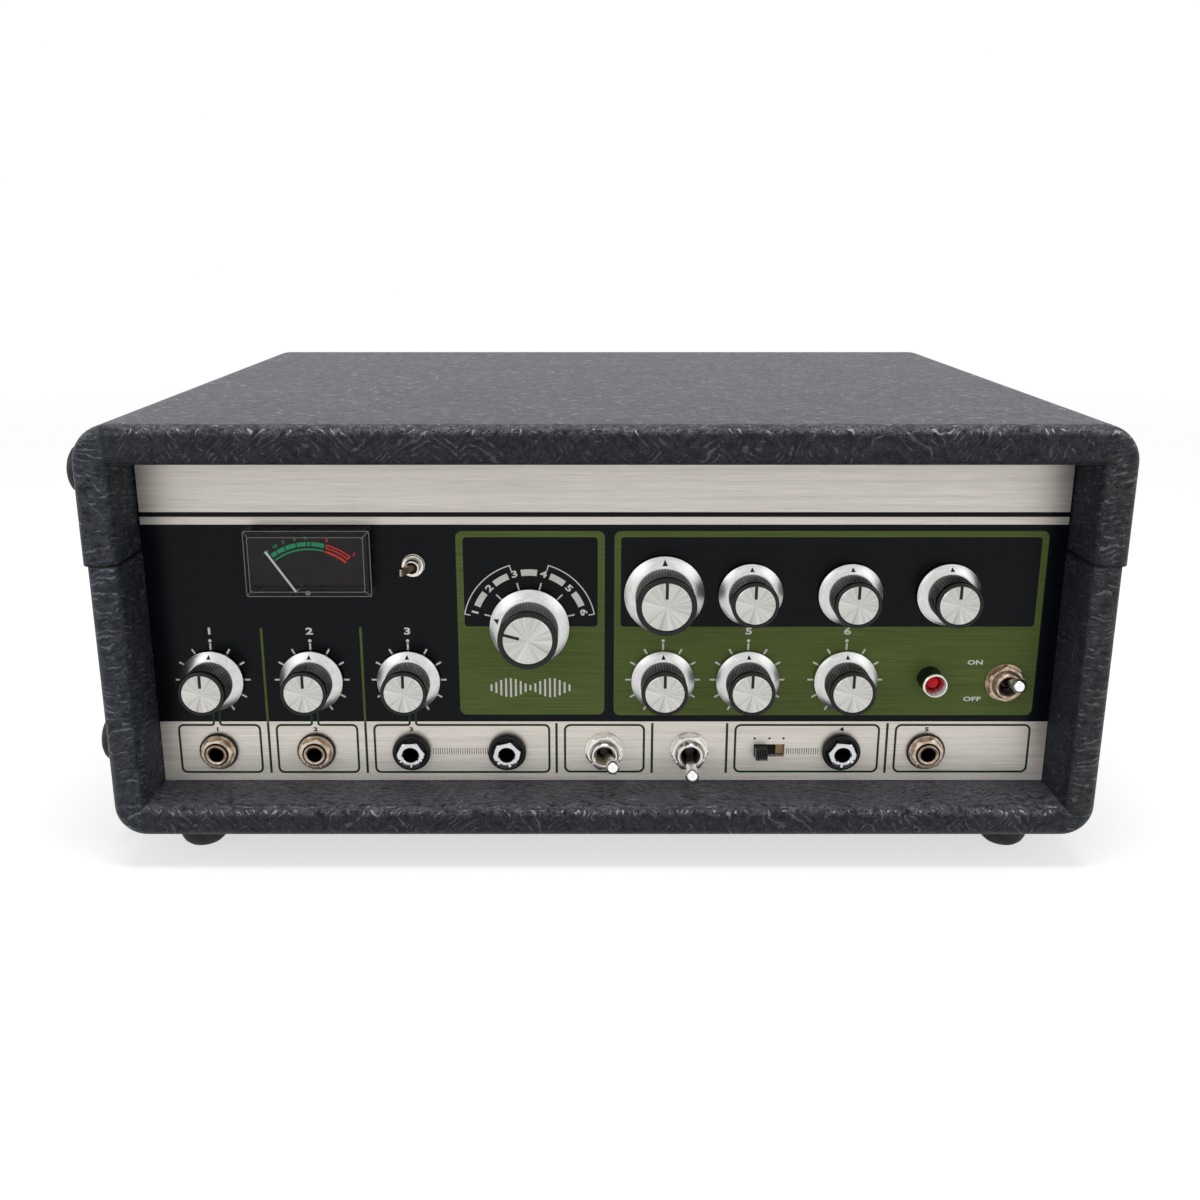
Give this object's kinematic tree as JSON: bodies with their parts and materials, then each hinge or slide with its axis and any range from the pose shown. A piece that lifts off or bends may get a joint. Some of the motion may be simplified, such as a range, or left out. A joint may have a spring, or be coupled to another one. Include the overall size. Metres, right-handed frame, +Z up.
{
  "type": "tape echo unit",
  "caption": "Tabletop tape echo unit: vinyl-covered case with lift-off lid and side handle, recessed panel of dials, sockets, switches and level meter, and tape transport inside.",
  "frame": {"origin": "on the surface that the feet stand on, under the middle of the whole unit with its handle and side feet", "axes": "+X to the right seen from the front, along the width; +Y to the back; +Z up"},
  "size_m": [0.4302, 0.28, 0.1862],
  "materials": {
    "vinyl": "dark bark-grain vinyl over wooden boards",
    "foot_rubber": "matte",
    "handle_black": "black sleeve on a steel bail",
    "zinc_steel": "zinc plated",
    "panel_aluminium": "brushed, with black and green print",
    "knob_plastic": "black grip with spun aluminium skirt and cap",
    "chrome_trim": "polished",
    "nickel": "aged nickel plate",
    "paddle_bronze": "dull",
    "socket_plastic": "satin black",
    "clear_cover": "clear acrylic",
    "red_lens": "tinted red",
    "meter_black": "matte black",
    "needle_white": "white paint",
    "tank_plastic": "dark grey",
    "head_steel": "ground steel",
    "bearing_brass": "sintered bronze",
    "motor_paint": "grey enamel",
    "belt_rubber": "matte",
    "roller_rubber": "ground",
    "tape_brown": "oxide-coated film",
    "core_steel": "varnished laminations",
    "board_green": "laminate"
  },
  "bodies": {
    "case": {"bottom_feet": "foot_rubber", "capstan_bearing": "bearing_brass", "chassis": "zinc_steel", "circuit_board": "board_green", "deck_plate": "zinc_steel", "drive_belt": "belt_rubber", "front_panel": "panel_aluminium", "fuse_holder": "socket_plastic", "handle_brackets": "zinc_steel", "jack_nuts": "nickel", "jack_sockets": "socket_plastic", "lamp_bezel": "chrome_trim", "lamp_lens": "red_lens", "lower_case": "vinyl", "mains_inlet": "socket_plastic", "meter_case": "meter_black", "meter_cover": "clear_cover", "meter_dial": "meter_black", "mini_switch": "nickel", "motor": "motor_paint", "potentiometers": "zinc_steel", "rear_panel": "zinc_steel", "rear_screws": "zinc_steel", "selector_switch": "zinc_steel", "side_feet_case": "foot_rubber", "slide_switch": "socket_plastic", "tank_cover": "clear_cover", "tape_guides": "zinc_steel", "tape_heads": "head_steel", "tape_loop": "tape_brown", "tape_tank": "tank_plastic", "toggle_switches": "nickel", "transformer": "core_steel"},
    "lid": {"lid": "vinyl", "side_feet_lid": "foot_rubber", "lid_clips": "zinc_steel"},
    "handle": {"handle": "handle_black"},
    "knob_input_1": {"knob_input_1": "knob_plastic"},
    "knob_input_2": {"knob_input_2": "knob_plastic"},
    "knob_input_3": {"knob_input_3": "knob_plastic"},
    "knob_lower_1": {"knob_lower_1": "knob_plastic"},
    "knob_lower_2": {"knob_lower_2": "knob_plastic"},
    "knob_lower_3": {"knob_lower_3": "knob_plastic"},
    "knob_upper_1": {"knob_upper_1": "knob_plastic"},
    "knob_upper_2": {"knob_upper_2": "knob_plastic"},
    "knob_upper_3": {"knob_upper_3": "knob_plastic"},
    "knob_upper_4": {"knob_upper_4": "knob_plastic"},
    "knob_selector": {"knob_selector": "knob_plastic"},
    "meter_needle": {"meter_needle": "needle_white"},
    "toggle_lever_1": {"toggle_lever_1": "chrome_trim"},
    "toggle_lever_2": {"toggle_lever_2": "chrome_trim"},
    "power_lever": {"power_lever": "chrome_trim"},
    "mini_lever": {"mini_lever": "paddle_bronze"},
    "slide_knob": {"slide_knob": "socket_plastic"},
    "capstan": {"capstan": "head_steel"},
    "motor_pulley": {"motor_pulley": "head_steel"},
    "pinch_arm": {"pinch_arm": "zinc_steel"},
    "pinch_roller": {"pinch_roller": "roller_rubber"}
  },
  "joints": [
    {"name": "lid_lift", "type": "slide", "parent": "case", "child": "lid", "axis": [0, 0, 1], "range_m": [0, 0.15]},
    {"name": "handle_swing", "type": "hinge", "parent": "case", "child": "handle", "pos_m": [0.2091, 0, 0.098], "axis": [0, -1, 0], "range_deg": [0, 95]},
    {"name": "knob_input_1_turn", "type": "hinge", "parent": "case", "child": "knob_input_1", "pos_m": [-0.1641, -0.115, 0.0744], "axis": [0, 1, 0], "range_deg": [-150, 150]},
    {"name": "knob_input_2_turn", "type": "hinge", "parent": "case", "child": "knob_input_2", "pos_m": [-0.1225, -0.115, 0.0744], "axis": [0, 1, 0], "range_deg": [-150, 150]},
    {"name": "knob_input_3_turn", "type": "hinge", "parent": "case", "child": "knob_input_3", "pos_m": [-0.0818, -0.115, 0.0744], "axis": [0, 1, 0], "range_deg": [-150, 150]},
    {"name": "knob_lower_1_turn", "type": "hinge", "parent": "case", "child": "knob_lower_1", "pos_m": [0.0246, -0.115, 0.0744], "axis": [0, 1, 0], "range_deg": [-150, 150]},
    {"name": "knob_lower_2_turn", "type": "hinge", "parent": "case", "child": "knob_lower_2", "pos_m": [0.0601, -0.115, 0.0744], "axis": [0, 1, 0], "range_deg": [-150, 150]},
    {"name": "knob_lower_3_turn", "type": "hinge", "parent": "case", "child": "knob_lower_3", "pos_m": [0.1011, -0.115, 0.0744], "axis": [0, 1, 0], "range_deg": [-150, 150]},
    {"name": "knob_upper_1_turn", "type": "hinge", "parent": "case", "child": "knob_upper_1", "pos_m": [0.0246, -0.115, 0.1123], "axis": [0, 1, 0], "range_deg": [-150, 150]},
    {"name": "knob_upper_2_turn", "type": "hinge", "parent": "case", "child": "knob_upper_2", "pos_m": [0.0601, -0.115, 0.1123], "axis": [0, 1, 0], "range_deg": [-150, 150]},
    {"name": "knob_upper_3_turn", "type": "hinge", "parent": "case", "child": "knob_upper_3", "pos_m": [0.1011, -0.115, 0.1123], "axis": [0, 1, 0], "range_deg": [-150, 150]},
    {"name": "knob_upper_4_turn", "type": "hinge", "parent": "case", "child": "knob_upper_4", "pos_m": [0.1415, -0.115, 0.1123], "axis": [0, 1, 0], "range_deg": [-150, 150]},
    {"name": "knob_selector_turn", "type": "hinge", "parent": "case", "child": "knob_selector", "pos_m": [-0.0309, -0.115, 0.0982], "axis": [0, 1, 0], "range_deg": [0, 150]},
    {"name": "needle_swing", "type": "hinge", "parent": "case", "child": "meter_needle", "pos_m": [-0.1195, -0.115, 0.10735], "axis": [0, 1, 0], "range_deg": [0, 68]},
    {"name": "toggle_1_throw", "type": "hinge", "parent": "case", "child": "toggle_lever_1", "pos_m": [0.0003, -0.114, 0.042], "axis": [0, 0, -1], "range_deg": [0, 22]},
    {"name": "toggle_2_throw", "type": "hinge", "parent": "case", "child": "toggle_lever_2", "pos_m": [0.0365, -0.114, 0.042], "axis": [-1, 0, 0], "range_deg": [0, 26]},
    {"name": "power_throw", "type": "hinge", "parent": "case", "child": "power_lever", "pos_m": [0.1683, -0.114, 0.0733], "axis": [1, 0, 0], "range_deg": [0, 32]},
    {"name": "mini_throw", "type": "hinge", "parent": "case", "child": "mini_lever", "pos_m": [-0.0782, -0.1185, 0.1245], "axis": [0, 0, 1], "range_deg": [0, 48]},
    {"name": "slide_travel", "type": "slide", "parent": "case", "child": "slide_knob", "axis": [1, 0, 0], "range_m": [0, 0.0075]},
    {"name": "capstan_spin", "type": "hinge", "parent": "case", "child": "capstan", "pos_m": [0.095, -0.0805, 0.131], "axis": [0, 0, 1], "continuous": true},
    {"name": "motor_spin", "type": "hinge", "parent": "case", "child": "motor_pulley", "pos_m": [0.095, 0.0295, 0.131], "axis": [0, 0, 1], "continuous": true},
    {"name": "pinch_swing", "type": "hinge", "parent": "case", "child": "pinch_arm", "pos_m": [0.127, -0.0935, 0.144], "axis": [0, 0, 1], "range_deg": [0, 10]},
    {"name": "roller_spin", "type": "hinge", "parent": "pinch_arm", "child": "pinch_roller", "pos_m": [0.095, -0.0935, 0.15], "axis": [0, 0, 1], "continuous": true}
  ],
  "couplings": [
    {"joint": "motor_spin", "follows": "capstan_spin", "ratio": 3.5},
    {"joint": "roller_spin", "follows": "capstan_spin", "ratio": -0.33333}
  ]
}
